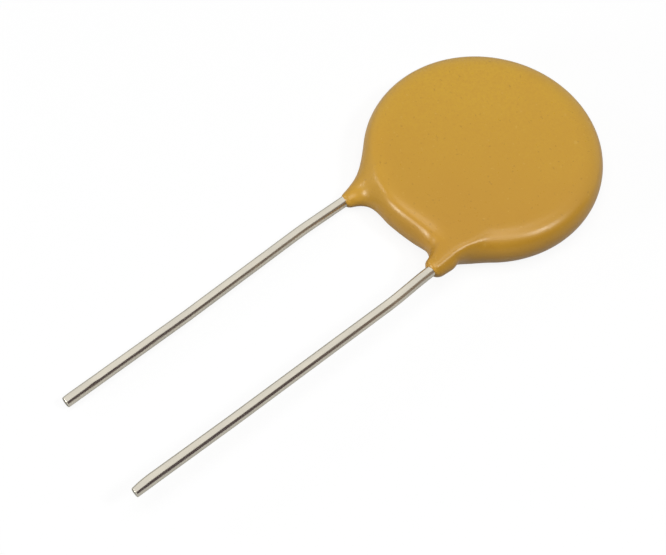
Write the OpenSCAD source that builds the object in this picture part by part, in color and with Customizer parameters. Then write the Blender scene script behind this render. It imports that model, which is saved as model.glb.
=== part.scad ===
// Disc varistor: a metal-oxide disc with a wire lead soldered to each face, dipped in resin.
// Sizes are in millimetres. The part lies on its back face: z = 0 is that face, the origin
// is under the middle of the disc, and both leads run out along -Y.

/* [Ceramic disc] */
// Diameter of the ceramic disc
ceramic_d = 20; // [19:0.1:21]
// Thickness of the ceramic disc
ceramic_t = 1.2; // [0.8:0.05:3]
// Break on the edges of the pressed disc
ceramic_edge = 0.12; // [0.05:0.01:0.3]
// Diameter of the fired silver electrodes
electrode_d = 18; // [16:0.1:18.5]
// Thickness of each electrode
electrode_t = 0.02; // [0.01:0.005:0.05]

/* [Leads] */
// Diameter of the tinned copper wire
wire_d = 1; // [0.8:0.05:1.1]
// Distance of the front lead from the middle line
front_x = 6.3; // [5:0.05:6.5]
// Distance of the back lead from the middle line
back_x = 4.9; // [4:0.05:6]
// How far each lead runs up its face past the middle of the disc
lead_top = 3; // [1:0.1:5]
// Length of the front lead outside the resin
front_free = 31.55; // [25:0.05:45]
// Length of the back lead outside the resin
back_free = 30.75; // [25:0.05:45]
// Turns of the front lead towards +X in degrees, from the resin outwards
front_turns = [2.8, -3.4, -0.6]; // [-5:0.1:5]
// Straights of the front lead between its turns
front_straights = [2, 16.7]; // [1:0.1:17]
// Turns of the back lead towards +X in degrees, from the resin outwards
back_turns = [-1.1, 2.5, -1.2]; // [-5:0.1:5]
// Straights of the back lead between its turns
back_straights = [3.9, 12.6]; // [1:0.1:17]
// Break on the edge of each cut end
cut_edge = 0.06; // [0.02:0.01:0.15]

/* [Solder] */
// Solder between a lead and its electrode
solder_film = 0.05; // [0.02:0.01:0.1]
// Width of the solder on the electrode
solder_w = 2.5; // [1.8:0.1:3.5]
// Width of the solder's crest, where it holds the wire
solder_crest = 0.8; // [0.6:0.05:1.2]
// Height of the solder above the electrode
solder_h = 0.9; // [0.5:0.05:1]
// Thickness of the solder where it ends on the electrode
solder_rim = 0.05; // [0.02:0.01:0.1]
// Electrode left bare in front of the solder
solder_inset = 0.5; // [0.3:0.1:1.5]
// Solder past the inner end of the lead
solder_past = 0.7; // [0.3:0.1:1.5]

/* [Coating] */
// Resin beyond the edge of the ceramic disc
rim_cover = 1; // [0.6:0.05:1.5]
// Resin over the outer side of each lead
lead_cover = 0.38; // [0.2:0.01:0.6]
// How far the rim's rounding would overshoot the faces, which soften it into a shoulder
shoulder = 0.25; // [0.1:0.01:0.4]
// Distance from the middle at which the faces start to fall towards the rim
face_r = 9.4; // [8:0.1:10]
// Fall of the faces beyond there, as height over distance
face_fall = 0.35; // [0.1:0.01:0.5]
// Wall of the resin leg round the front lead
front_wall = 0.4; // [0.2:0.01:0.5]
// Wall of the resin leg round the back lead
back_wall = 0.28; // [0.2:0.01:0.5]
// Length of the resin legs past the rim
leg_out = 1.6; // [1.2:0.05:3]
// Rounding of the legs' blunt ends
leg_blunt = 0.6; // [0.2:0.05:0.8]
// Offset of the front leg's end from its lead, towards the middle line
front_shift = 0.18; // [0:0.01:0.3]
// Lean of the front leg's root towards the middle line
front_lean = 0.42; // [0:0.02:0.8]
// Distance from the middle at which the front leg's ridge rises out of the face
front_root = 6.5; // [5:0.1:9]
// Size of the fillet beside that ridge
front_fillet = 0.9; // [0.5:0.1:1.5]
// Lean of the back leg's root towards the middle line
back_lean = 0.2; // [0:0.02:0.6]
// Size of the fillet between the back leg and the disc
back_fillet = 2.95; // [1.5:0.05:4]
// Radius of the resin gathered behind the front leg
gusset_r = 0.7; // [0.4:0.05:1]
// Its offset from the front lead, towards the middle line
gusset_shift = 0.6; // [0.3:0.05:1]
// Its distance below the front lead
gusset_drop = 0.62; // [0.3:0.02:1]
// How far short of the rim it ends
gusset_short = 0.3; // [0:0.05:1]
// Size of the fillet round it
gusset_fillet = 3; // [1.5:0.1:3.5]
// Width of the resin run that gathers on the rim between the legs
run_w = 2.6; // [1:0.1:5]
// Distance of the run's middle from the middle line
run_x = 0.4; // [-1:0.1:1]
// Radius of the run's outer side, seen along the rim
run_r = 3.6; // [2.5:0.1:5]
// Reach of the run past the rim, at its end by the back lead
run_back = -0.05; // [-0.2:0.05:0.5]
// How much less it reaches at its end by the front lead
run_slope = 0.45; // [0:0.05:0.6]
// Size of the fillet between the run and the disc
run_fillet = 1.5; // [0.5:0.1:3]

/* [Hidden] */
$fn = 128;

// The largest turn at one joint of a lead, in degrees, and how far apart such joints are
bend_step = 1.2;
bend_pitch = 0.7;

// Heights, built up from the back face
coat_t = ceramic_t + 2 * (electrode_t + solder_film + wire_d + lead_cover);
mid_z = coat_t / 2;
electrode_z = ceramic_t / 2 + electrode_t;
lead_z = electrode_z + solder_film + wire_d / 2;

// What the length of the solder is rounded to
solder_round = 0.02;

// The outside of the resin
coat_r = ceramic_d / 2 + rim_cover;
round_r = mid_z + shoulder;
core_r = coat_r - round_r;
front_r = wire_d / 2 + front_wall;
back_r = wire_d / 2 + back_wall;
leg_end = coat_r + leg_out;
buried_len = lead_top + leg_end + leg_blunt / 2;
front_high = mid_z + lead_z;
back_high = mid_z - lead_z;
gusset_x = front_x - gusset_shift;
gusset_high = front_high - gusset_drop;
run_core = coat_r + run_back - run_r;

function mix(a, b, t) = a + (b - a) * t;
function span(a, b, n) = [for (i = [0:n - 1]) mix(a, b, i / n)];
function clamp01(t) = min(1, max(0, t));

// Unions and cuts that leave a fillet of size k in place of a crease
function soft_min(a, b, k) = min(a, b) - pow(max(k - abs(a - b), 0), 2) / (4 * k);
function soft_max(a, b, k) = -soft_min(-a, -b, k);

// Distance from point p to a round bar of radius r with ball ends at a and b
function bar_gap(p, a, b, r) =
    let (d = b - a, s = clamp01((p - a) * d / (d * d)))
    norm(p - a - s * d) - r;

// Distance from point p to a leg: a round bar with a blunt end at b, which faces -Y
function leg_gap(p, a, b, r) = soft_max(bar_gap(p, a, b, r), b.y - p.y, leg_blunt);

// Distance from point p to the resin over the disc itself
function disc_gap(p) =
    let (r = norm([p.x, p.y]), up = p.z - mid_z)
    soft_max(norm([max(r - core_r, 0), up]) - round_r,
        abs(up) - mid_z + (r - face_r) * face_fall, shoulder);

// The resin's surface is where this is zero, and it is negative inside
function skin_gap(p) =
    let (run = bar_gap(p, [run_x - run_w / 2, -run_core, mid_z],
            [run_x + run_w / 2, run_slope - run_core, mid_z], run_r),
        gusset = bar_gap(p, [gusset_x, -core_r, gusset_high],
            [gusset_x, gusset_short - coat_r, gusset_high], gusset_r),
        front = leg_gap(p, [front_x - front_shift - front_lean, -front_root, front_high],
            [front_x - front_shift, -leg_end, front_high], front_r),
        back = leg_gap(p, [back_lean - back_x, -core_r, back_high],
            [-back_x, -leg_end, back_high], back_r),
        rim = soft_min(disc_gap(p), run, run_fillet),
        fan = soft_min(soft_min(rim, gusset, gusset_fillet), front, front_fillet))
    soft_max(soft_min(fan, back, back_fillet), abs(p.z - mid_z) - mid_z, shoulder);

// Moves point p onto the surface, along its steepest slope
step = 0.005;
function slope(p, at) =
    [skin_gap(p + [step, 0, 0]) - at, skin_gap(p + [0, step, 0]) - at,
        skin_gap(p + [0, 0, step]) - at] / step;
function settle(p, times) =
    times == 0 ? p :
    let (at = skin_gap(p), g = slope(p, at))
    settle(p - g * (at / (g * g)), times - 1);
settle_times = 7;

// The skin is a grid of columns round the rim. A block of it is left out at each lead, and
// a tube of rings grows from the block's edge to the tip of the leg.
rows = 18;
shared_rows = 6;
block_cols = 12;
run_cols = 14;
far_cols = 72;
tube_rings = 16;
tip_rings = 3;
block_angle = 28;
shoulder_crowd = 1.6;
root_flare = 1.4;
front_at = asin((front_x - front_shift - front_lean / 2) / (coat_r - front_r));
back_at = -asin(back_x / (coat_r - back_r));
columns = concat(
    span(back_at - block_angle / 2, back_at + block_angle / 2, block_cols),
    span(back_at + block_angle / 2, front_at - block_angle / 2, run_cols),
    span(front_at - block_angle / 2, front_at + block_angle / 2, block_cols),
    span(front_at + block_angle / 2, back_at - block_angle / 2 + 360, far_cols));
column_n = len(columns);

// Each leg as [x, z, first column, first row, last row, radius]
back_leg = [-back_x, back_high, 0, shared_rows, rows, back_r];
front_leg = [front_x - front_shift, front_high, block_cols + run_cols, 0, rows - shared_rows,
    front_r];
loop_n = 2 * (block_cols + rows - shared_rows);

// A point of the grid: row 0 lies on the front face and the last row on the back face, and
// the rows are closer together over the shoulders
function rim_tilt(row) =
    let (s = 1 - 2 * row / rows)
    90 * sign(s) * (1 - pow(1 - abs(s), shoulder_crowd));
function rim_point(col, row) =
    let (a = columns[col], tilt = rim_tilt(row), r = core_r + round_r * cos(tilt),
        z = mid_z + min(mid_z, max(-mid_z, round_r * sin(tilt))))
    [r * sin(a), -r * cos(a), z];
function grid_index(col, row) = (col % column_n) * (rows + 1) + row;

// The edge of a leg's block, clockwise as seen from the tip of the leg
function block_edge(leg) =
    let (c = leg[2], top = leg[3], low = leg[4])
    concat(
        [for (i = [0:block_cols]) grid_index(c + i, top)],
        [for (j = [top + 1:low]) grid_index(c + block_cols, j)],
        [for (i = [1:block_cols]) grid_index(c + block_cols - i, low)],
        [for (j = [1:low - top - 1]) grid_index(c, low - j)]);

// A tube's line runs over the rim from the block's edge, then turns along the lead, and the
// lines spread evenly round the lead by the tip
function ring_point(leg, a, r, y) = [leg.x + r * cos(a), y, leg.y + r * sin(a)];
function even_angle(j) = 90 + 360 * (block_cols / 2 - j) / loop_n;
function tube_point(from, leg, j, t) =
    let (seen = atan2(from.z - leg.y, from.x - leg.x),
        even = even_angle(j),
        near = seen + 360 * round((even - seen) / 360),
        root_y = min(from.y, -sqrt(coat_r * coat_r - leg.x * leg.x)),
        root = ring_point(leg, (near + even) / 2, root_flare * leg[5], root_y),
        end = ring_point(leg, even, leg[5], leg_blunt / 2 - leg_end))
    mix(mix(from, root, t), mix(root, end, t), t);
function tube_points(grid, leg) =
    let (edge = block_edge(leg))
    concat(
        [for (ring = [1:tube_rings], j = [0:loop_n - 1])
            settle(tube_point(grid[edge[j]], leg, j, ring / tube_rings), settle_times)],
        [for (ring = [1:tip_rings], j = [0:loop_n - 1])
            let (r = leg[5] * (1 - ring / (tip_rings + 1)))
            settle(ring_point(leg, even_angle(j), r, -leg_end), settle_times)],
        [settle([leg.x, -leg_end, leg.y], settle_times)]);

// Two triangles over the quad a, b, c, d
function quad(a, b, c, d) = [[a, b, c], [a, c, d]];
function tube_faces(leg, first) =
    let (edge = block_edge(leg), rings = tube_rings + tip_rings,
        at = function (ring, j)
            ring == 0 ? edge[j % loop_n] : first + (ring - 1) * loop_n + j % loop_n)
    concat(
        [for (ring = [0:rings - 1], j = [0:loop_n - 1])
            each quad(at(ring, j), at(ring, j + 1), at(ring + 1, j + 1), at(ring + 1, j))],
        [for (j = [0:loop_n - 1]) [at(rings, j), at(rings, j + 1), first + rings * loop_n]]);
function in_block(leg, col, row) =
    col >= leg[2] && col < leg[2] + block_cols && row >= leg[3] && row < leg[4];

// The resin's outer surface, as a solid with nothing inside
module skin() {
    grid = [for (col = [0:column_n - 1], row = [0:rows])
        let (p = rim_point(col, row))
        row == 0 || row == rows ? p : settle(p, settle_times)];
    back = tube_points(grid, back_leg);
    front = tube_points(grid, front_leg);
    faces = concat(
        [[for (col = [0:column_n - 1]) grid_index(column_n - 1 - col, 0)]],
        [[for (col = [0:column_n - 1]) grid_index(col, rows)]],
        [for (col = [0:column_n - 1], row = [0:rows - 1])
            if (!in_block(back_leg, col, row) && !in_block(front_leg, col, row))
            each quad(grid_index(col, row), grid_index(col + 1, row),
                grid_index(col + 1, row + 1), grid_index(col, row + 1))],
        tube_faces(back_leg, len(grid)),
        tube_faces(front_leg, len(grid) + len(back)));
    polyhedron(concat(grid, back, front), faces);
}

// Turns what belongs to the front face over to the back face
module to_back() {
    translate([0, 0, mid_z])
        mirror([0, 0, 1])
            children();
}

module to_front() {
    translate([0, 0, mid_z])
        children();
}

// A lead runs in straights, and a turn larger than bend_step is shared by a few mitred joints
function joints(lengths, turns) = [for (i = [0:len(turns) - 1])
    let (n = max(1, ceil(abs(turns[i]) / bend_step)))
    for (k = [1:n])
    [k == 1 ? lengths[i] : bend_pitch, turns[i] / n]];
function total(legs, i = 0) = i == len(legs) ? 0 : legs[i][0] + total(legs, i + 1);

// What lies between the mitres of a straight that runs along -Y
module between_mitres(length, before, after) {
    rise = wire_d * tan(before / 2);
    fall = wire_d * tan(after / 2);
    linear_extrude(2 * wire_d, center = true)
        polygon([[-wire_d, rise], [wire_d, -rise],
            [wire_d, fall - length], [-wire_d, -fall - length]]);
}

// Wire along -Y, long enough for its mitres
module wire(length) {
    translate([0, wire_d, 0])
        rotate([90, 0, 0])
            cylinder(d = wire_d, h = length + 2 * wire_d);
}

// Wire along -Y, with the edge of its cut end broken
module wire_end(length) {
    r = wire_d / 2;
    rotate([90, 0, 0])
        rotate_extrude()
            polygon([[0, -wire_d], [r, -wire_d], [r, length - cut_edge],
                [r - cut_edge, length], [0, length]]);
}

// The straights from number i on, each drawn in the frame of the one before it
module straights(legs, last_len, before = 0, i = 0) {
    last = i == len(legs);
    length = last ? last_len : legs[i][0];
    after = last ? 0 : legs[i][1];
    intersection() {
        if (last) wire_end(length);
        if (!last) wire(length);
        between_mitres(length + (last ? wire_d : 0), before, after);
    }
    if (!last)
        translate([0, -length, 0])
            rotate([0, 0, after])
                straights(legs, last_len, after, i + 1);
}

module lead(x, z, lengths, turns, free) {
    legs = joints(concat([buried_len], lengths), turns);
    translate([x, lead_top, z])
        straights(legs, lead_top + leg_end + free - total(legs));
}

// The part of a lead that is soldered and dipped
module buried(x) {
    translate([x, lead_top, lead_z])
        rotate([90, 0, 0])
            cylinder(d = wire_d, h = buried_len);
}

// Solder along a lead: coves on both sides of the wire, and ends rounded in plan. Its length
// is a round number, so that the rounded ends meet the straight sides exactly.
module solder(x) {
    edge = sqrt(pow(electrode_d / 2, 2) - x * x) - solder_inset;
    start = solder_round * round(edge / solder_round);
    length = start + lead_top + solder_past;
    cove = (solder_w - solder_crest) / 2;
    difference() {
        translate([x, 0, electrode_z])
            intersection() {
                translate([0, lead_top + solder_past, 0])
                    rotate([90, 0, 0])
                        linear_extrude(length)
                            difference() {
                                translate([-solder_w / 2, 0])
                                    square([solder_w, solder_h]);
                                for (side = [-1, 1])
                                    translate([side * solder_w / 2, solder_rim + cove])
                                        circle(cove);
                            }
                linear_extrude(solder_h)
                    translate([0, lead_top + solder_past - length / 2])
                        stadium(length, solder_w);
            }
        buried(x);
    }
}

module stadium(length, width) {
    square([width, length - width], center = true);
    for (side = [-1, 1])
        translate([0, side * (length - width) / 2])
            circle(d = width);
}

module electrode() {
    translate([0, 0, ceramic_t / 2])
        cylinder(d = electrode_d, h = electrode_t);
}

module ceramic_disc() {
    r = ceramic_d / 2;
    h = ceramic_t / 2;
    color("dimgray")
        to_front()
            rotate_extrude()
                polygon([[0, -h], [r - ceramic_edge, -h], [r, ceramic_edge - h],
                    [r, h - ceramic_edge], [r - ceramic_edge, h], [0, h]]);
}

module front_electrode() {
    color("gainsboro")
        to_front()
            electrode();
}

module back_electrode() {
    color("gainsboro")
        to_back()
            electrode();
}

module front_solder() {
    color("darkgray")
        to_front()
            solder(front_x);
}

module back_solder() {
    color("darkgray")
        to_back()
            solder(-back_x);
}

module front_lead() {
    color("silver")
        to_front()
            lead(front_x, lead_z, front_straights, front_turns, front_free);
}

module back_lead() {
    color("silver")
        to_front()
            lead(-back_x, -lead_z, back_straights, back_turns, back_free);
}

module coating() {
    color("goldenrod")
        difference() {
            skin();
            ceramic_disc();
            front_electrode();
            back_electrode();
            front_solder();
            back_solder();
            to_front()
                buried(front_x);
            to_back()
                buried(-back_x);
        }
}

ceramic_disc();
front_electrode();
back_electrode();
front_solder();
back_solder();
front_lead();
back_lead();
coating();
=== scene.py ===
import math
import bmesh
import bpy
import numpy as np
from mathutils import Matrix, Vector, noise


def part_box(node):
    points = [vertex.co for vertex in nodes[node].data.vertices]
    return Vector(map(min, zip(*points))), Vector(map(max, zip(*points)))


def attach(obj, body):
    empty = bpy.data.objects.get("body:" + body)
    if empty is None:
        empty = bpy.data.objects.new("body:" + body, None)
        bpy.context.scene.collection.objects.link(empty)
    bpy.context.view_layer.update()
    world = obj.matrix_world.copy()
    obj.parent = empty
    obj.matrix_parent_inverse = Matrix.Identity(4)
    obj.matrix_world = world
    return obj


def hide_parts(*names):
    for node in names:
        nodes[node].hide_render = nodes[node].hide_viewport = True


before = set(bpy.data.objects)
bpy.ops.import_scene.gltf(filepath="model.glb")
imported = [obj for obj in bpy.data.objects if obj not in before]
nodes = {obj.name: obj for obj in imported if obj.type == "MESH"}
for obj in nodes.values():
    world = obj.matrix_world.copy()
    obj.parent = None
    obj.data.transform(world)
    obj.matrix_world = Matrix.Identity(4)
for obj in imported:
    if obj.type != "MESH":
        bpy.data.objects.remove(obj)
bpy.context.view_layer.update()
mm = 0.001
print("frame loaded")


# materials are built from small pieces of node tree, with their patterns in millimetres

usual = (0.3, 0.7)  # most of a noise's values lie between these


def plug(tree, socket, value):
    # a value is either another node's output or the socket's own setting
    if hasattr(value, "is_output"):
        tree.links.new(value, socket)
    else:
        socket.default_value = value


def setSockets(tree, node, **values):
    for name, value in values.items():
        plug(tree, node.inputs[name.replace("_", " ")], value)


def addNode(tree, kind, **values):
    node = tree.nodes.new(kind)
    setSockets(tree, node, **values)
    return node


def newMaterial(name):
    material = bpy.data.materials.new(name)
    material.use_nodes = True
    tree = material.node_tree
    return material, tree, tree.nodes["Principled BSDF"]


def showSurface(tree, shader):
    tree.links.new(shader.outputs[0], tree.nodes["Material Output"].inputs["Surface"])


def millimetres(tree, stretch=(1, 1, 1), turn=(0, 0, 0)):
    place = addNode(tree, "ShaderNodeTexCoord").outputs["Object"]
    size = [s / mm for s in stretch]
    mapping = addNode(tree, "ShaderNodeMapping", Vector=place, Scale=size, Rotation=turn)
    return mapping.outputs["Vector"]


def pattern(tree, layer):
    # a layer is noise of a given scale, with settings for what it does to the surface
    place = millimetres(tree, layer.get("stretch", (1, 1, 1)), layer.get("turn", (0, 0, 0)))
    texture = addNode(
        tree, "ShaderNodeTexNoise", Vector=place, Scale=layer["scale"],
        Detail=layer["detail"], Roughness=layer.get("fineness", 0.5))
    return texture.outputs["Fac"]


def ramp(tree, fac, low, high, toLow=0.0, toHigh=1.0):
    node = addNode(
        tree, "ShaderNodeMapRange", Value=fac, From_Min=low, From_Max=high,
        To_Min=toLow, To_Max=toHigh)
    return node.outputs["Result"]


def mixColor(tree, fac, a, b, blend="MIX"):
    node = tree.nodes.new("ShaderNodeMix")
    node.data_type = "RGBA"
    node.blend_type = blend
    plug(tree, node.inputs[0], fac)
    for socket, color in ((node.inputs[6], a), (node.inputs[7], b)):
        plug(tree, socket, color if hasattr(color, "is_output") else (*color, 1))
    return node.outputs[2]


def tint(tree, fac, layer, under, color):
    # the color starts to show at the layer's first noise value, and is at its most from the second
    share = ramp(tree, fac, *layer.get("between", usual), 0.0, layer.get("most", 1.0))
    return mixColor(tree, share, under, color)


def bump(tree, height, layer, under=None):
    node = addNode(
        tree, "ShaderNodeBump", Height=height, Strength=layer["bump"],
        Distance=layer["height"] * mm)
    if under is not None:
        tree.links.new(under, node.inputs["Normal"])
    return node.outputs["Normal"]


def addObject(name, data):
    obj = bpy.data.objects.new(name, data)
    bpy.context.scene.collection.objects.link(obj)
    return obj


def meshFrom(bm, name):
    mesh = bpy.data.meshes.new(name)
    bm.to_mesh(mesh)
    bm.free()
    return mesh


def newPiece(name, mesh, slot, material, *replaced):
    piece = addObject(name, mesh)
    mesh.materials.clear()
    mesh.materials.append(material)
    mesh.shade_smooth()
    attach(piece, "root")
    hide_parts(*replaced)
    return piece


# the resin's form, in millimetres, and its finish

resin = {
    "thickness": 4.1,
    "radius": 11.0,
    "shoulder": 0.25,  # how far the rim's rounding overshoots the faces
    "faceRadius": 9.4,
    "faceFall": 0.35,  # of the faces beyond that radius
    "leadHeight": 1.17,  # of each wire's middle from the middle of the disc
    "front": {"x": 6.12, "lean": 0.42, "root": 6.5, "radius": 0.9, "fillet": 0.9, "narrow": 0.12},
    "back": {"x": -4.9, "lean": 0.2, "radius": 0.78, "fillet": 2.95, "narrow": 0.16},
    "legEnd": 12.6,
    "legBlunt": 0.6,
    "film": 0.12,  # how far the finished skin creeps down the wires past the legs
    "narrowing": {"length": 1.9, "curve": 1.5},  # of the finished legs' ends
    "gusset": {"x": 5.7, "radius": 0.7, "drop": 0.62, "short": 0.3, "fillet": 3.0},
    "run": {
        "x": 0.4, "width": 2.6, "radius": 3.6, "back": -0.05, "slope": 0.45,
        "fillet": 1.5, "shoulder": 0.7,
    },
    "bead": {
        "start": (6.45, -10.8, 2.88), "end": (6.36, -12.4, 2.93), "radius": 0.76, "fillet": 0.4,
    },
    # between these corners the face's edge is rounder than elsewhere, and each
    # round of smoothing starts further in than the one before
    "soft": {
        "low": (-4.6, -12.0, 2.2), "high": (4.9, -7.4, 5.2), "insets": (0, 0.4, 0.8),
        "times": 30, "pull": 0.5,
    },
    "weld": 0.002,  # corners of the solid nearer than this are one
    "skinWithin": 0.05,  # and its faces nearer than this to the form are its outer skin
    "cell": 0.13,  # of the mesh
    "settling": {"step": 1e-4, "times": 6},
    "color": (0.550, 0.308, 0.026),
    "shade": (0.515, 0.268, 0.024),
    # painted light and shade: the color is multiplied by a lighter tone at the far rim and a
    # darker one at the front leg, a painted falloff of light across the face
    "depth": {
        "turn": 0.72, "between": (-10.0, 10.0),
        "paintedLit": (1.09, 1.16, 1.0), "paintedShade": (0.93, 0.86, 0.98),
    },
    "gloss": (1.0, 0.95, 0.80, 1),
    "rough": (0.27, 0.34),
    "ior": 1.5,
    "patches": {"scale": 0.22, "detail": 3.0, "between": (0.2, 0.8), "most": 0.6},
    "grain": {
        "scale": 4.5, "detail": 3.0, "fineness": 0.65, "between": (0.35, 0.7), "most": 0.8,
        "bump": 0.25, "height": 0.006,
    },
    "peel": {"scale": 0.9, "detail": 2.0, "bump": 0.35, "height": 0.03},
    "specks": {
        "scale": 3.1, "detail": 1.0, "between": (0.70, 0.76), "most": 0.45,
        "color": (0.36, 0.18, 0.02),
    },
    "paleSpecks": {
        "scale": 2.6, "detail": 1.0, "turn": (0.6, 0.4, 0.2), "between": (0.71, 0.77),
        "most": 0.30, "color": (0.62, 0.40, 0.09),
    },
}


def softMin(a, b, size):
    return np.minimum(a, b) - np.maximum(size - np.abs(a - b), 0) ** 2 / (4 * size)


def softMax(a, b, size):
    return -softMin(-a, -b, size)


# a gap is the distance from each point to a form's surface, below zero inside it

def barGap(points, start, end, radius):
    along = np.subtract(end, start)
    share = np.clip((points - start) @ along / (along @ along), 0, 1)
    return np.linalg.norm(points - start - share[:, None] * along, axis=1) - radius


def legGap(points, start, end, radius, narrow=0):
    # a narrow leg loses that much of its radius over its last part
    last = resin["narrowing"]
    share = np.clip((end[1] + last["length"] - points[:, 1]) / last["length"], 0, 1)
    bar = barGap(points, start, end, radius) + narrow * share ** last["curve"]
    return softMax(bar, end[1] - points[:, 1], resin["legBlunt"])


def discGap(points, up, mid, coreR):
    r = np.hypot(points[:, 0], points[:, 1])
    rim = np.hypot(np.maximum(r - coreR, 0), up) - (mid + resin["shoulder"])
    face = np.abs(up) - mid + (r - resin["faceRadius"]) * resin["faceFall"]
    return softMax(rim, face, resin["shoulder"])


def runGap(points, mid):
    # the resin that gathered at the rim between the legs
    run = resin["run"]
    y = resin["radius"] + run["back"] - run["radius"]
    start = (run["x"] - run["width"] / 2, -y, mid)
    end = (run["x"] + run["width"] / 2, run["slope"] - y, mid)
    return barGap(points, start, end, run["radius"])


def gussetGap(points, high, coreR):
    # the resin gathered behind the front leg
    gusset = resin["gusset"]
    z = high - gusset["drop"]
    start = (gusset["x"], -coreR, z)
    end = (gusset["x"], gusset["short"] - resin["radius"], z)
    return barGap(points, start, end, gusset["radius"])


def skinGap(points, finished=True):
    # unfinished, it is the solid's own surface; finished, the run blends into the faces,
    # the legs narrow and reach further, and a bead hangs at the front one
    mid = resin["thickness"] / 2
    coreR = resin["radius"] - (mid + resin["shoulder"])
    high, low = mid + resin["leadHeight"], mid - resin["leadHeight"]
    up = points[:, 2] - mid
    run, gusset = resin["run"], resin["gusset"]
    front, back, bead = resin["front"], resin["back"], resin["bead"]
    frontNarrow = front["narrow"] if finished else 0
    backNarrow = back["narrow"] if finished else 0
    legEnd = resin["legEnd"] + resin["film"] if finished else resin["legEnd"]

    disc = discGap(points, up, mid, coreR)
    gathered = runGap(points, mid)
    if finished:
        gathered = softMax(gathered, np.abs(up) - mid, run["shoulder"])
    body = softMin(disc, gathered, run["fillet"])
    body = softMin(body, gussetGap(points, high, coreR), gusset["fillet"])

    start = (front["x"] - front["lean"], -front["root"], high)
    end = (front["x"] + frontNarrow / 2, -legEnd, high)
    leg = legGap(points, start, end, front["radius"], frontNarrow)
    body = softMin(body, leg, front["fillet"])

    start = (back["x"] + back["lean"], -coreR, low)
    end = (back["x"] + backNarrow / 2, -legEnd, low)
    leg = legGap(points, start, end, back["radius"], backNarrow)
    body = softMin(body, leg, back["fillet"])

    if finished:
        hanging = legGap(points, bead["start"], bead["end"], bead["radius"])
        body = softMin(body, hanging, bead["fillet"])
    return softMax(body, np.abs(up) - mid, resin["shoulder"])


def settle(points):
    # moves each point down the gap's slope, onto the finished surface
    step = resin["settling"]["step"]
    for _ in range(resin["settling"]["times"]):
        gap = skinGap(points)
        slope = [(skinGap(points + step * way) - gap) / step for way in np.eye(3)]
        slope = np.stack(slope, axis=1)
        steep = np.maximum((slope ** 2).sum(1), 1e-9)
        points = points - slope * (gap / steep)[:, None]
    return points


def meshPoints(mesh):
    flat = np.empty(len(mesh.vertices) * 3)
    mesh.vertices.foreach_get("co", flat)
    return flat.reshape(-1, 3)


def setPoints(mesh, points):
    mesh.vertices.foreach_set("co", points.ravel())
    mesh.update()


def outerSkin():
    # the solid's outer skin, closed over the wires
    bm = bmesh.new()
    bm.from_mesh(nodes["coating"].data)
    bmesh.ops.remove_doubles(bm, verts=bm.verts, dist=resin["weld"] * mm)
    centres = np.array([f.calc_center_median() for f in bm.faces]) / mm
    inner = np.abs(skinGap(centres, finished=False)) > resin["skinWithin"]
    unwanted = [f for f, gone in zip(bm.faces[:], inner) if gone]
    bmesh.ops.delete(bm, geom=unwanted, context="FACES")
    bmesh.ops.holes_fill(bm, edges=[e for e in bm.edges if e.is_boundary], sides=0)
    bmesh.ops.triangulate(bm, faces=bm.faces)
    return meshFrom(bm, "outerSkin")


def inEvenCells(mesh, name):
    shell = addObject("resinShell", mesh)
    remesh = shell.modifiers.new("cells", "REMESH")
    remesh.mode = "VOXEL"
    remesh.voxel_size = resin["cell"] * mm
    graph = bpy.context.evaluated_depsgraph_get()
    made = bpy.data.meshes.new_from_object(shell.evaluated_get(graph))
    bpy.data.objects.remove(shell)
    made.name = name
    return made


def soften(mesh):
    soft = resin["soft"]
    low, high = (Vector(corner) * mm for corner in (soft["low"], soft["high"]))
    bm = bmesh.new()
    bm.from_mesh(mesh)
    for inset in soft["insets"]:
        near = [
            v for v in bm.verts
            if all(a + inset * mm < c < b - inset * mm for a, c, b in zip(low, v.co, high))]
        for _ in range(soft["times"]):
            bmesh.ops.smooth_vert(
                bm, verts=near, factor=soft["pull"],
                use_axis_x=True, use_axis_y=True, use_axis_z=True)
    bm.to_mesh(mesh)
    bm.free()


def makeResinMaterial():
    material, tree, shader = newMaterial("dippedResin")
    grain = pattern(tree, resin["grain"])
    # painted light and shade: the color turns lighter towards the far rim and darker towards the
    # front leg
    depth = resin["depth"]
    turned = millimetres(tree, turn=(0, 0, depth["turn"]))
    across = addNode(tree, "ShaderNodeSeparateXYZ", Vector=turned).outputs["X"]
    paintedFalloff = mixColor(tree, ramp(tree, across, *depth["between"]), depth["paintedLit"], depth["paintedShade"])
    patches = pattern(tree, resin["patches"])
    color = tint(tree, patches, resin["patches"], resin["color"], resin["shade"])
    color = mixColor(tree, 1.0, color, paintedFalloff, "MULTIPLY")
    color = tint(tree, grain, resin["grain"], color, resin["shade"])
    for layer in (resin["specks"], resin["paleSpecks"]):
        color = tint(tree, pattern(tree, layer), layer, color, layer["color"])
    normal = bump(tree, pattern(tree, resin["peel"]), resin["peel"])
    normal = bump(tree, grain, resin["grain"], normal)
    rough = ramp(tree, grain, *usual, *resin["rough"])
    setSockets(tree, shader, Base_Color=color, Roughness=rough, Normal=normal)
    setSockets(tree, shader, IOR=resin["ior"], Specular_Tint=resin["gloss"])
    return material


def makeCoating():
    # the outer skin is meshed again in even cells, which settle onto the finished form
    mesh = inEvenCells(outerSkin(), "dipped_resin")
    points = settle(meshPoints(mesh) / mm)
    low, high = (np.array(corner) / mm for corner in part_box("coating"))
    low[1] -= resin["film"]
    setPoints(mesh, np.clip(points, low, high) * mm)
    soften(mesh)
    print("coating:", len(mesh.polygons), "cells")
    return newPiece("dipped_resin", mesh, "resin", makeResinMaterial(), "coating")


makeCoating()


# the wires

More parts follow.
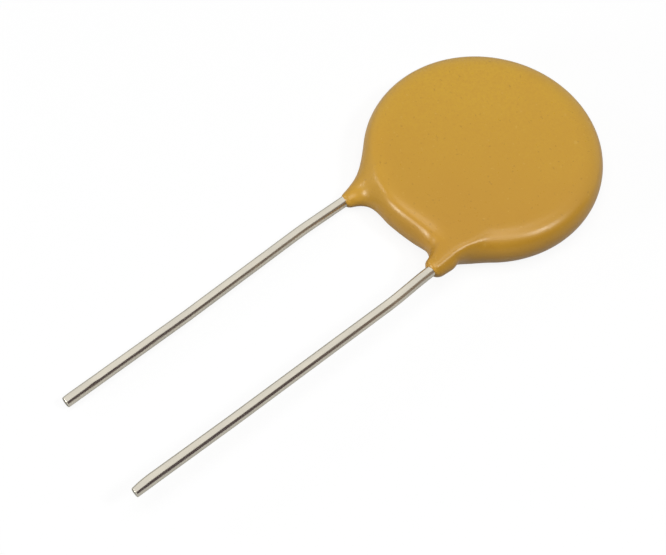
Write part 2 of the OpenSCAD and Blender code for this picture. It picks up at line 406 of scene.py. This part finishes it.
wire = {
    "radius": 0.5,
    "inside": 3.0,  # how far each runs up the disc
    "step": 0.25,  # between rings
    "sides": 48,
    "bendStep": 1.2,  # the most degrees that one joint of a bend turns
    "bendPitch": 0.7,
    "cutEdge": {"offset": 0.06, "segments": 3},
    "uneven": {"depth": 0.006, "along": 0.45, "round": 0.6},  # how the tin's thickness wanders
    "color": (0.74, 0.69, 0.58),
    "dull": (0.66, 0.62, 0.53),
    "edgeTint": (0.55, 0.55, 0.52, 1),
    "rough": (0.19, 0.24),
    "patches": {"scale": 1.1, "detail": 3.0, "stretch": (1, 0.35, 1), "between": (0.35, 0.7)},
    "drawn": {
        "scale": 5.0, "detail": 2.0, "fineness": 0.6, "stretch": (1, 0.04, 1),
        "between": (0.5, 0.75), "most": 0.3,
    },
    "waves": {"scale": 0.9, "detail": 1.0, "stretch": (1, 0.4, 1), "bump": 0.05, "height": 0.01},
}
# a dent is (distance along, angle round from the top, length, width, depth)
# and a pinch rounds a cut end over
leads = {
    "front_wire": {
        "node": "front_lead",
        "x": 6.3,
        "z": 3.22,
        "straights": [15.9, 2.0, 16.7],
        "turns": [2.8, -3.4, -0.6],
        "length": 47.14,
        "dents": [(26.5, 20, 1.2, 40, 0.012), (38.2, 60, 1.6, 40, 0.010)],
        "pinch": {"angle": -60, "length": 1.7, "depth": 0.16},
    },
    "back_wire": {
        "node": "back_lead",
        "x": -4.9,
        "z": 0.88,
        "straights": [15.9, 3.9, 12.6],
        "turns": [-1.1, 2.5, -1.2],
        "length": 46.34,
        "dents": [
            (24.6, -20, 0.7, 35, 0.025), (25.6, 25, 0.6, 30, 0.02), (34.9, 35, 0.9, 40, 0.02),
            (36.8, 50, 0.7, 35, 0.02), (38.7, 30, 0.8, 35, 0.025), (43.6, 45, 0.35, 30, 0.04),
            (43.0, -30, 0.5, 35, 0.025),
        ],
        "pinch": {"angle": -60, "length": 0.5, "depth": 0.04},
    },
}


def wireJoints(lead):
    # a turn is made at one or more joints, each (distance along, angle)
    joints = []
    at = 0.0
    for straight, turn in zip(lead["straights"], lead["turns"]):
        parts = max(1, math.ceil(abs(turn) / wire["bendStep"]))
        at += straight
        joints += [(at + i * wire["bendPitch"], math.radians(turn / parts)) for i in range(parts)]
        at += (parts - 1) * wire["bendPitch"]
    return joints


def headingAt(joints, along):
    # a joint's turn is spread over half a pitch to each side of it
    pitch = wire["bendPitch"]
    return sum(turn * min(1, max(0, along / pitch - at / pitch + 0.5)) for at, turn in joints)


def wireStations(lead):
    # (distance along, place, heading) down a wire, from its inner end
    joints = wireJoints(lead)
    stations = []
    count = round(lead["length"] / wire["step"])
    spot = Vector((lead["x"], wire["inside"], lead["z"]))
    before = 0.0
    for i in range(count + 1):
        here = lead["length"] * i / count
        heading = headingAt(joints, (before + here) / 2)
        spot = spot + (here - before) * Vector((math.sin(heading), -math.cos(heading), 0))
        stations.append((here, spot.copy(), heading))
        before = here
    return stations


def angleBetween(a, b):
    return abs((a - b + 180) % 360 - 180)


def sinkIn(lead, here, angle):
    # how far the surface lies inside the plain round wire
    uneven, pinch = wire["uneven"], lead["pinch"]
    side = math.cos(math.radians(angle))
    wander = noise.noise(Vector((here * uneven["along"], side * uneven["round"], lead["x"])))
    depth = uneven["depth"] * (0.5 + 0.5 * wander)
    for at, middle, length, width, deep in lead["dents"]:
        off = ((here - at) / length) ** 2 + (angleBetween(angle, middle) / width) ** 2
        depth += deep * math.exp(-off)
    late = max(0.0, 1 - (lead["length"] - here) / pinch["length"])
    facing = max(0.0, math.cos(math.radians(angleBetween(angle, pinch["angle"]))))
    return depth + pinch["depth"] * late ** 2 * facing


def makeWireMaterial():
    material, tree, shader = newMaterial("tinnedWire")
    patches = pattern(tree, wire["patches"])
    color = tint(tree, patches, wire["patches"], wire["color"], wire["dull"])
    color = tint(tree, pattern(tree, wire["drawn"]), wire["drawn"], color, wire["dull"])
    rough = ramp(tree, patches, *usual, *wire["rough"])
    normal = bump(tree, pattern(tree, wire["waves"]), wire["waves"])
    setSockets(tree, shader, Base_Color=color, Roughness=rough, Normal=normal)
    setSockets(tree, shader, Metallic=1.0, Specular_Tint=wire["edgeTint"])
    return material


def makeWire(name, lead, material):
    # a ring is drawn along the stations, then sunk in by the dents and the pinched end
    stations = wireStations(lead)
    _, spot, heading = stations[0]
    bm = bmesh.new()
    ring = bmesh.ops.create_circle(
        bm, cap_ends=False, segments=wire["sides"], radius=wire["radius"] * mm)["verts"]
    bmesh.ops.rotate(bm, verts=ring, matrix=Matrix.Rotation(math.pi / 2, 3, "X"))
    bmesh.ops.rotate(bm, verts=ring, matrix=Matrix.Rotation(heading, 3, "Z"))
    bmesh.ops.translate(bm, verts=ring, vec=spot * mm)
    firstEnd = edges = bm.edges[:]
    rings = [ring]
    for (_, spot, heading), (_, nextSpot, nextHeading) in zip(stations, stations[1:]):
        made = bmesh.ops.extrude_edge_only(bm, edges=edges)["geom"]
        ring = [g for g in made if isinstance(g, bmesh.types.BMVert)]
        edges = [g for g in made if isinstance(g, bmesh.types.BMEdge)]
        turn = Matrix.Rotation(nextHeading - heading, 3, "Z")
        bmesh.ops.translate(bm, verts=ring, vec=(nextSpot - spot) * mm)
        bmesh.ops.rotate(bm, verts=ring, cent=nextSpot * mm, matrix=turn)
        rings.append(ring)
    for ring, (here, spot, heading) in zip(rings, stations):
        across = Vector((math.cos(heading), math.sin(heading), 0))
        for vert in ring:
            out = vert.co / mm - spot
            angle = math.degrees(math.atan2(out.dot(across), out.z))
            vert.co -= out.normalized() * sinkIn(lead, here, angle) * mm
    ends = bmesh.ops.holes_fill(bm, edges=firstEnd + edges, sides=0)["faces"]
    bmesh.ops.recalc_face_normals(bm, faces=bm.faces)
    rims = [e for face in ends for e in face.edges]
    cut = wire["cutEdge"]
    bmesh.ops.bevel(
        bm, geom=rims, offset=cut["offset"] * mm, segments=cut["segments"], profile=0.5,
        affect="EDGES", material=-1)
    mesh = meshFrom(bm, name)
    tip = [round(v, 3) for v in stations[-1][1]]
    print(name, len(mesh.polygons), "faces, tip at", tip)
    return newPiece(name, mesh, "tinned_wire", material, lead["node"])


wireMaterial = makeWireMaterial()
wires = [makeWire(name, lead, wireMaterial) for name, lead in leads.items()]


# the sealed pieces keep their solids, and get their finish here

ceramic = {
    "color": (0.030, 0.033, 0.030),
    "shade": (0.045, 0.047, 0.042),
    "rough": (0.55, 0.8),
    "metal": 0.0,
    "patches": {"scale": 0.5, "detail": 2.0},
    "grain": {"scale": 14.0, "detail": 4.0, "fineness": 0.7, "bump": 0.4, "height": 0.01},
    "pale": {"between": (0.5, 0.75), "most": 0.6, "color": (0.09, 0.09, 0.08)},
}
silver = {
    "color": (0.82, 0.80, 0.76),
    "shade": (0.70, 0.68, 0.63),
    "rough": (0.38, 0.6),
    "metal": 1.0,
    "patches": {"scale": 0.7, "detail": 2.0},
    "grain": {"scale": 18.0, "detail": 4.0, "fineness": 0.65, "bump": 0.4, "height": 0.004},
}
solder = {
    "color": (0.62, 0.63, 0.64),
    "shade": (0.50, 0.51, 0.53),
    "rough": (0.25, 0.45),
    "metal": 1.0,
    "patches": {"scale": 0.7, "detail": 2.0},
    "grain": {"scale": 5.0, "detail": 4.0, "fineness": 0.65, "bump": 0.4, "height": 0.01},
}


def makeSealedMaterial(name, look):
    material, tree, shader = newMaterial(name)
    grain = pattern(tree, look["grain"])
    patches = pattern(tree, look["patches"])
    color = tint(tree, patches, look["patches"], look["color"], look["shade"])
    if "pale" in look:
        color = tint(tree, grain, look["pale"], color, look["pale"]["color"])
    rough = ramp(tree, grain, *usual, *look["rough"])
    normal = bump(tree, grain, look["grain"])
    setSockets(tree, shader, Base_Color=color, Roughness=rough, Normal=normal)
    setSockets(tree, shader, Metallic=look["metal"])
    return material


firedSilver = makeSealedMaterial("firedSilver", silver)
solderedJoint = makeSealedMaterial("solderedJoint", solder)
sealed = {
    "ceramic_disc": makeSealedMaterial("oxideCeramic", ceramic),
    "front_electrode": firedSilver,
    "back_electrode": firedSilver,
    "front_solder": solderedJoint,
    "back_solder": solderedJoint,
}
for node, material in sealed.items():
    for slot in nodes[node].material_slots:
        slot.material = material
print("sealed pieces finished")


# floor, sky and lamps, in millimetres; a lamp's glow is how bright it looks, where 1 is white

studio = {
    "floorSize": 3000,
    "floorColor": (0.22, 0.22, 0.22, 1),
    "floorRough": 0.9,
    "shadowSeen": 0.12,  # how much of the floor's real shading the camera sees
    "reflected": 0.65,  # the share of the light on it that reflections see
    "sky": 0.10,
    "white": (1, 1, 1, 1),
    "litAt": (0, -8, 2),
    "lampFar": 420,
    "lamps": {
        "key": {"from": (0.52, 0.28, 0.81), "size": 85, "glow": 27.0},
        "top": {"from": (-0.02, 0.34, 0.94), "size": 50, "glow": 9.0},
        "soft": {"from": (0.10, -0.20, 0.97), "size": 420, "glow": 2.75},
        "front": {"from": (-0.27, -0.94, 0.20), "size": 115, "glow": 19.0},
        "side": {"from": (-0.72, -0.58, 0.36), "size": 70, "glow": 12.0},
    },
    "notOnWires": ("key", "top", "soft"),
}


def whiteToSight(tree):
    # 1 where the camera, a reflection or a clear body looks
    path = addNode(tree, "ShaderNodeLightPath")
    seen = path.outputs["Is Camera Ray"]
    for other in ("Is Glossy Ray", "Is Transmission Ray"):
        larger = tree.nodes.new("ShaderNodeMath")
        larger.operation = "MAXIMUM"
        tree.links.new(seen, larger.inputs[0])
        tree.links.new(path.outputs[other], larger.inputs[1])
        seen = larger.outputs[0]
    return seen


def mixShader(tree, fac, a, b):
    node = addNode(tree, "ShaderNodeMixShader", Fac=fac)
    tree.links.new(a.outputs[0], node.inputs[1])
    tree.links.new(b.outputs[0], node.inputs[2])
    return node


def makeSheet(name, width, depth, material):
    bm = bmesh.new()
    bmesh.ops.create_grid(bm, x_segments=1, y_segments=1, size=0.5)
    bmesh.ops.scale(bm, verts=bm.verts, vec=(width * mm, depth * mm, 1))
    mesh = meshFrom(bm, name)
    mesh.materials.append(material)
    return addObject(name, mesh)


def makeFloor():
    # light bounces off a mid gray; the camera sees plain white with a little of a white
    # sheet's shading in it, and reflections see a paler gray with all of its shading
    material, tree, shader = newMaterial("paleFloor")
    setSockets(tree, shader, Base_Color=studio["floorColor"], Roughness=studio["floorRough"])
    setSockets(tree, shader, Specular_IOR_Level=0.0)
    toCamera = addNode(tree, "ShaderNodeLightPath").outputs["Is Camera Ray"]
    tone = ramp(tree, toCamera, 0.0, 1.0, studio["reflected"], 1.0)
    shaded = addNode(tree, "ShaderNodeBsdfDiffuse", Color=tone)
    plain = addNode(tree, "ShaderNodeEmission", Color=studio["white"], Strength=1.0)
    share = ramp(tree, toCamera, 0.0, 1.0, 1.0, studio["shadowSeen"])
    seen = mixShader(tree, share, plain, shaded)
    showSurface(tree, mixShader(tree, whiteToSight(tree), shader, seen))
    floor = makeSheet("studio_floor", studio["floorSize"], studio["floorSize"], material)


def makeWorld():
    world = bpy.data.worlds.new("studioSky")
    bpy.context.scene.world = world
    world.use_nodes = True
    tree = world.node_tree
    level = ramp(tree, whiteToSight(tree), 0.0, 1.0, studio["sky"], 1.0)
    setSockets(tree, tree.nodes["Background"], Strength=level, Color=studio["white"])


def aim(obj, place, target):
    place, target = Vector(place), Vector(target)
    turn = (target - place).to_track_quat("-Z", "Y").to_matrix().to_4x4()
    obj.matrix_world = Matrix.Translation(place * mm) @ turn


def spareWires():
    # some lamps would burn a line along the bare metal, which the others light well enough
    spared = bpy.data.collections.new("sparedWires")
    for piece in wires:
        spared.objects.link(piece)
    for member in spared.collection_objects:
        member.light_linking.link_state = "EXCLUDE"
    return spared


def makeLamps():
    spared = spareWires()
    for name, lamp in studio["lamps"].items():
        light = bpy.data.lights.new(name, "AREA")
        light.shape = "DISK"
        light.size = lamp["size"] * mm
        # an area lamp's power is its glow times pi times its area
        light.energy = lamp["glow"] * math.pi * math.pi * (light.size / 2) ** 2
        obj = addObject(name, light)
        aim(obj, Vector(lamp["from"]).normalized() * studio["lampFar"], studio["litAt"])
        if name in studio["notOnWires"]:
            obj.light_linking.receiver_collection = spared


# a card to one side glows with a dark and a lighter tone, and only reflections see it: a painted
# reflection, which draws the dark line along the wires
card = {
    "at": (210, 75, 195),
    "width": 420,
    "depth": 370,
    "slant": 0.257,  # of the line where it turns from dark to light
    "fade": 30.0,  # how wide that line is
    "dark": (0.10, 0.078, 0.088),
    "light": (0.34, 0.275, 0.22),
}


def makeCard():
    material, tree, shader = newMaterial("paintedReflectionCard")
    turned = millimetres(tree, turn=(0, 0, card["slant"]))
    across = addNode(tree, "ShaderNodeSeparateXYZ", Vector=turned).outputs["X"]
    color = mixColor(tree, ramp(tree, across, 0.0, card["fade"]), card["dark"], card["light"])
    # painted reflection: the card's tones glow rather than being lit
    showSurface(tree, addNode(tree, "ShaderNodeEmission", Color=color, Strength=1.0))
    obj = makeSheet("painted_reflection_card", card["width"], card["depth"], material)
    aim(obj, card["at"], (0, card["at"][1], card["at"][2]))
    obj.visible_camera = False
    obj.visible_diffuse = False
    obj.visible_shadow = False


camera = {
    "elevation": 59.72,
    "roll": -5.109,
    "swing": 44.485,
    "offset": (13.643, -10.099, 126.02),  # right, down and away, in millimetres
    "focus": 1355.5,  # in pixels, as is the width
    "width": 666,
    "sensor": 36,
    "nearest": 5,
}


def makeCamera():
    elevation, roll, swing = (math.radians(camera[k]) for k in ("elevation", "roll", "swing"))
    flat = math.cos(elevation)
    back = Vector((math.sin(swing) * flat, -math.cos(swing) * flat, math.sin(elevation)))
    level = Vector((math.cos(swing), math.sin(swing), 0))
    drop = (-back).cross(level)
    right = level * math.cos(roll) + drop * math.sin(roll)
    down = drop * math.cos(roll) - level * math.sin(roll)
    toRight, toDown, away = camera["offset"]
    place = -(right * toRight + down * toDown - back * away) * mm
    data = bpy.data.cameras.new("camera")
    data.sensor_width = camera["sensor"]
    data.lens = camera["focus"] / camera["width"] * camera["sensor"]
    data.clip_start = camera["nearest"] * mm
    obj = addObject("camera", data)
    turn = Matrix((right, -down, back)).transposed().to_4x4()
    obj.matrix_world = Matrix.Translation(place) @ turn
    bpy.context.scene.camera = obj


makeFloor()
makeWorld()
makeLamps()
makeCard()
makeCamera()
bpy.context.scene.view_settings.view_transform = "Standard"
print("studio ready")
